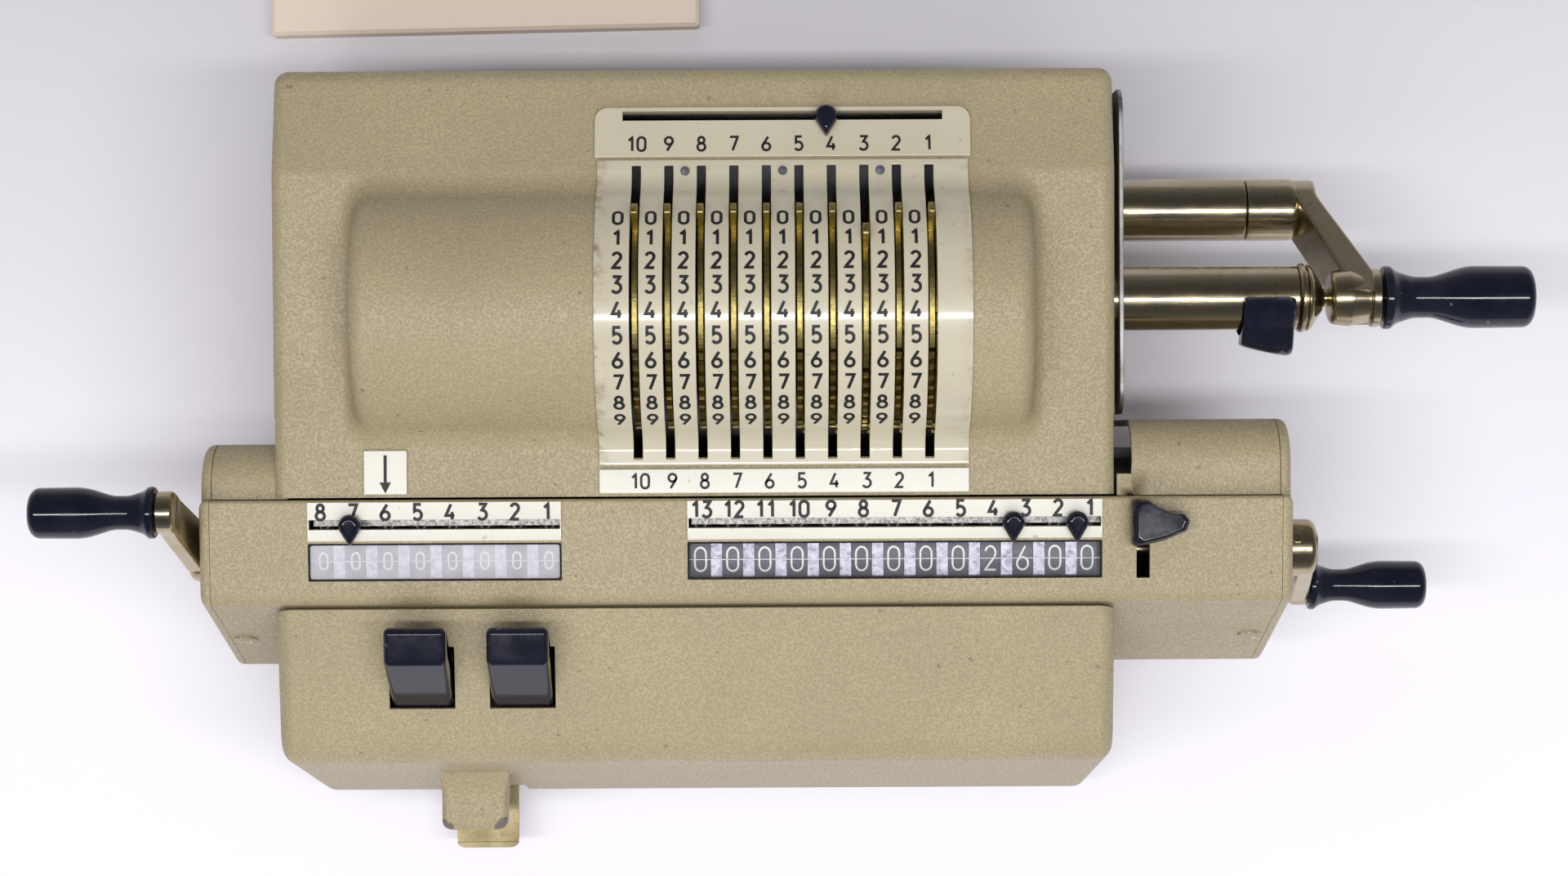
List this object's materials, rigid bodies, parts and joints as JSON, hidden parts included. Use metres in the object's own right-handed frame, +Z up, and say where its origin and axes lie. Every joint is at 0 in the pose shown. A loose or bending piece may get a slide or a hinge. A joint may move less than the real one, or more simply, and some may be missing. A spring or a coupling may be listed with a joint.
{
  "type": "mechanical calculator",
  "caption": "Hand-cranked pinwheel calculator with setting levers, a sliding register carriage, clearing cranks and shift keys.",
  "frame": {"origin": "middle of the base plate's underside, from which the rubber feet stand down", "axes": "+X along the drum towards the main crank, +Y to the rear, +Z up"},
  "size_m": [0.3716, 0.2029, 0.1151],
  "materials": {
    "beige_paint": "fine hammer-textured stone-beige enamel",
    "ivory_enamel": "glossy ivory enamel",
    "frame_steel": "oiled dark steel",
    "nickel_plate": "worn nickel plating with a brassy tint",
    "brass": "aged satin brass",
    "rubber": "matte",
    "stud_steel": "satin",
    "window_glass": "clear, slightly violet sheen",
    "dial_plastic": "dark grey with white numerals",
    "navy_plastic": "glossy dark blue"
  },
  "bodies": {
    "body": {"base_plate": "frame_steel", "rubber_feet": "rubber", "side_frames": "frame_steel", "carriage_rails": "frame_steel", "casing": "beige_paint", "front_apron": "beige_paint", "setting_panel": "ivory_enamel", "label_plates": "ivory_enamel", "column_studs": "stud_steel", "crank_tubes": "nickel_plate", "stop_bush": "nickel_plate"},
    "drum": {"drum_shaft": "frame_steel", "pinwheel_discs": "brass"},
    "lever_1": {"setting_lever_1": "brass"},
    "lever_2": {"setting_lever_2": "brass"},
    "lever_3": {"setting_lever_3": "brass"},
    "lever_4": {"setting_lever_4": "brass"},
    "lever_5": {"setting_lever_5": "brass"},
    "lever_6": {"setting_lever_6": "brass"},
    "lever_7": {"setting_lever_7": "brass"},
    "lever_8": {"setting_lever_8": "brass"},
    "lever_9": {"setting_lever_9": "brass"},
    "lever_10": {"setting_lever_10": "brass"},
    "crank": {"crank_shaft": "frame_steel", "crank_arm": "nickel_plate"},
    "crank_grip": {"crank_handle": "navy_plastic"},
    "clear": {"clear_lever": "navy_plastic"},
    "carriage": {"carriage_frame": "frame_steel", "carriage_cover": "beige_paint", "rear_covers": "beige_paint", "end_caps": "beige_paint", "cover_screws": "nickel_plate", "register_strips": "ivory_enamel", "register_windows": "window_glass"},
    "counter": {"counter_dials": "dial_plastic"},
    "dial_1": {"result_dial_1": "dial_plastic"},
    "dial_2": {"result_dial_2": "dial_plastic"},
    "dial_3": {"result_dial_3": "dial_plastic"},
    "dial_4": {"result_dial_4": "dial_plastic"},
    "dial_5": {"result_dial_5": "dial_plastic"},
    "dial_6": {"result_dial_6": "dial_plastic"},
    "dial_7": {"result_dial_7": "dial_plastic"},
    "dial_8": {"result_dial_8": "dial_plastic"},
    "dial_9": {"result_dial_9": "dial_plastic"},
    "dial_10": {"result_dial_10": "dial_plastic"},
    "dial_11": {"result_dial_11": "dial_plastic"},
    "dial_12": {"result_dial_12": "dial_plastic"},
    "dial_13": {"result_dial_13": "dial_plastic"},
    "wing_left": {"wing_crank_left": "nickel_plate"},
    "wing_right": {"wing_crank_right": "nickel_plate"},
    "wing_grip_left": {"wing_handle_left": "navy_plastic"},
    "wing_grip_right": {"wing_handle_right": "navy_plastic"},
    "setting_mark": {"setting_pointer": "navy_plastic"},
    "counter_mark": {"counter_pointer": "navy_plastic"},
    "result_mark_left": {"result_pointer_left": "navy_plastic"},
    "result_mark_right": {"result_pointer_right": "navy_plastic"},
    "transfer": {"transfer_lever": "navy_plastic"},
    "key_left": {"shift_key_left": "navy_plastic"},
    "key_right": {"shift_key_right": "navy_plastic"},
    "release": {"release_lever": "frame_steel"}
  },
  "joints": [
    {"name": "carriage_slide", "type": "slide", "parent": "body", "child": "carriage", "axis": [1, 0, 0], "range_m": [-0.04, 0.016]},
    {"name": "crank_turn", "type": "hinge", "parent": "body", "child": "crank", "pos_m": [0.12, 0.06005, 0.0491], "axis": [1, 0, 0], "continuous": true},
    {"name": "drum_turn", "type": "hinge", "parent": "body", "child": "drum", "pos_m": [0, 0.0336, 0.072], "axis": [1, 0, 0], "continuous": true},
    {"name": "crank_grip_turn", "type": "hinge", "parent": "crank", "child": "crank_grip", "pos_m": [0.19, 0.03635, 0.07], "axis": [1, 0, 0], "continuous": true},
    {"name": "lever_1_set", "type": "hinge", "parent": "drum", "child": "lever_1", "pos_m": [0.0582, 0.0336, 0.072], "axis": [1, 0, 0], "range_deg": [0, 92.7]},
    {"name": "lever_2_set", "type": "hinge", "parent": "drum", "child": "lever_2", "pos_m": [0.0502, 0.0336, 0.072], "axis": [1, 0, 0], "range_deg": [0, 92.7]},
    {"name": "lever_3_set", "type": "hinge", "parent": "drum", "child": "lever_3", "pos_m": [0.0422, 0.0336, 0.072], "axis": [1, 0, 0], "range_deg": [-10.3, 82.4]},
    {"name": "lever_4_set", "type": "hinge", "parent": "drum", "child": "lever_4", "pos_m": [0.0342, 0.0336, 0.072], "axis": [1, 0, 0], "range_deg": [0, 92.7]},
    {"name": "lever_5_set", "type": "hinge", "parent": "drum", "child": "lever_5", "pos_m": [0.0262, 0.0336, 0.072], "axis": [1, 0, 0], "range_deg": [0, 92.7]},
    {"name": "lever_6_set", "type": "hinge", "parent": "drum", "child": "lever_6", "pos_m": [0.0182, 0.0336, 0.072], "axis": [1, 0, 0], "range_deg": [0, 92.7]},
    {"name": "lever_7_set", "type": "hinge", "parent": "drum", "child": "lever_7", "pos_m": [0.0102, 0.0336, 0.072], "axis": [1, 0, 0], "range_deg": [0, 92.7]},
    {"name": "lever_8_set", "type": "hinge", "parent": "drum", "child": "lever_8", "pos_m": [0.0022, 0.0336, 0.072], "axis": [1, 0, 0], "range_deg": [0, 92.7]},
    {"name": "lever_9_set", "type": "hinge", "parent": "drum", "child": "lever_9", "pos_m": [-0.0058, 0.0336, 0.072], "axis": [1, 0, 0], "range_deg": [0, 92.7]},
    {"name": "lever_10_set", "type": "hinge", "parent": "drum", "child": "lever_10", "pos_m": [-0.0138, 0.0336, 0.072], "axis": [1, 0, 0], "range_deg": [0, 92.7]},
    {"name": "clear_press", "type": "hinge", "parent": "body", "child": "clear", "pos_m": [0.1434, 0.03635, 0.07], "axis": [1, 0, 0], "range_deg": [0, 40], "stiffness_Nm_per_rad": 0.05, "springref_deg": -17.19},
    {"name": "wing_left_turn", "type": "hinge", "parent": "carriage", "child": "wing_left", "pos_m": [-0.1, -0.02655, 0.0675], "axis": [1, 0, 0], "continuous": true},
    {"name": "wing_right_turn", "type": "hinge", "parent": "carriage", "child": "wing_right", "pos_m": [0.1, -0.02655, 0.0675], "axis": [1, 0, 0], "continuous": true},
    {"name": "wing_grip_left_turn", "type": "hinge", "parent": "wing_left", "child": "wing_grip_left", "pos_m": [-0.14, -0.0156, 0.09693], "axis": [1, 0, 0], "continuous": true},
    {"name": "wing_grip_right_turn", "type": "hinge", "parent": "wing_right", "child": "wing_grip_right", "pos_m": [0.17, -0.0375, 0.03807], "axis": [1, 0, 0], "continuous": true},
    {"name": "setting_mark_slide", "type": "slide", "parent": "body", "child": "setting_mark", "axis": [1, 0, 0], "range_m": [-0.047, 0.025]},
    {"name": "counter_mark_slide", "type": "slide", "parent": "carriage", "child": "counter_mark", "axis": [1, 0, 0], "range_m": [-0.007, 0.048]},
    {"name": "result_mark_left_slide", "type": "slide", "parent": "carriage", "child": "result_mark_left", "axis": [1, 0, 0], "range_m": [-0.075, 0.004]},
    {"name": "result_mark_right_slide", "type": "slide", "parent": "carriage", "child": "result_mark_right", "axis": [1, 0, 0], "range_m": [-0.005, 0.0035]},
    {"name": "transfer_slide", "type": "slide", "parent": "carriage", "child": "transfer", "axis": [0, -1, 0], "range_m": [0, 0.01]},
    {"name": "key_left_press", "type": "slide", "parent": "body", "child": "key_left", "axis": [0, 0, -1], "range_m": [0, 0.006], "stiffness_N_per_m": 300, "springref_m": -0.003},
    {"name": "key_right_press", "type": "slide", "parent": "body", "child": "key_right", "axis": [0, 0, -1], "range_m": [0, 0.006], "stiffness_N_per_m": 300, "springref_m": -0.003},
    {"name": "release_squeeze", "type": "hinge", "parent": "body", "child": "release", "pos_m": [-0.0588, -0.07, 0.0095], "axis": [-1, 0, 0], "range_deg": [0, 8], "stiffness_Nm_per_rad": 0.3, "springref_deg": -5.73},
    {"name": "counter_turn", "type": "hinge", "parent": "carriage", "child": "counter", "pos_m": [-0.0643, -0.02655, 0.0675], "axis": [1, 0, 0], "continuous": true},
    {"name": "dial_1_turn", "type": "hinge", "parent": "carriage", "child": "dial_1", "pos_m": [0.0982, -0.02655, 0.0675], "axis": [1, 0, 0], "continuous": true},
    {"name": "dial_2_turn", "type": "hinge", "parent": "carriage", "child": "dial_2", "pos_m": [0.0902, -0.02655, 0.0675], "axis": [1, 0, 0], "continuous": true},
    {"name": "dial_3_turn", "type": "hinge", "parent": "carriage", "child": "dial_3", "pos_m": [0.0822, -0.02655, 0.0675], "axis": [1, 0, 0], "continuous": true},
    {"name": "dial_4_turn", "type": "hinge", "parent": "carriage", "child": "dial_4", "pos_m": [0.0742, -0.02655, 0.0675], "axis": [1, 0, 0], "continuous": true},
    {"name": "dial_5_turn", "type": "hinge", "parent": "carriage", "child": "dial_5", "pos_m": [0.0662, -0.02655, 0.0675], "axis": [1, 0, 0], "continuous": true},
    {"name": "dial_6_turn", "type": "hinge", "parent": "carriage", "child": "dial_6", "pos_m": [0.0582, -0.02655, 0.0675], "axis": [1, 0, 0], "continuous": true},
    {"name": "dial_7_turn", "type": "hinge", "parent": "carriage", "child": "dial_7", "pos_m": [0.0502, -0.02655, 0.0675], "axis": [1, 0, 0], "continuous": true},
    {"name": "dial_8_turn", "type": "hinge", "parent": "carriage", "child": "dial_8", "pos_m": [0.0422, -0.02655, 0.0675], "axis": [1, 0, 0], "continuous": true},
    {"name": "dial_9_turn", "type": "hinge", "parent": "carriage", "child": "dial_9", "pos_m": [0.0342, -0.02655, 0.0675], "axis": [1, 0, 0], "continuous": true},
    {"name": "dial_10_turn", "type": "hinge", "parent": "carriage", "child": "dial_10", "pos_m": [0.0262, -0.02655, 0.0675], "axis": [1, 0, 0], "continuous": true},
    {"name": "dial_11_turn", "type": "hinge", "parent": "carriage", "child": "dial_11", "pos_m": [0.0182, -0.02655, 0.0675], "axis": [1, 0, 0], "continuous": true},
    {"name": "dial_12_turn", "type": "hinge", "parent": "carriage", "child": "dial_12", "pos_m": [0.0102, -0.02655, 0.0675], "axis": [1, 0, 0], "continuous": true},
    {"name": "dial_13_turn", "type": "hinge", "parent": "carriage", "child": "dial_13", "pos_m": [0.0022, -0.02655, 0.0675], "axis": [1, 0, 0], "continuous": true}
  ],
  "couplings": [
    {"joint": "drum_turn", "follows": "crank_turn", "ratio": -1}
  ]
}
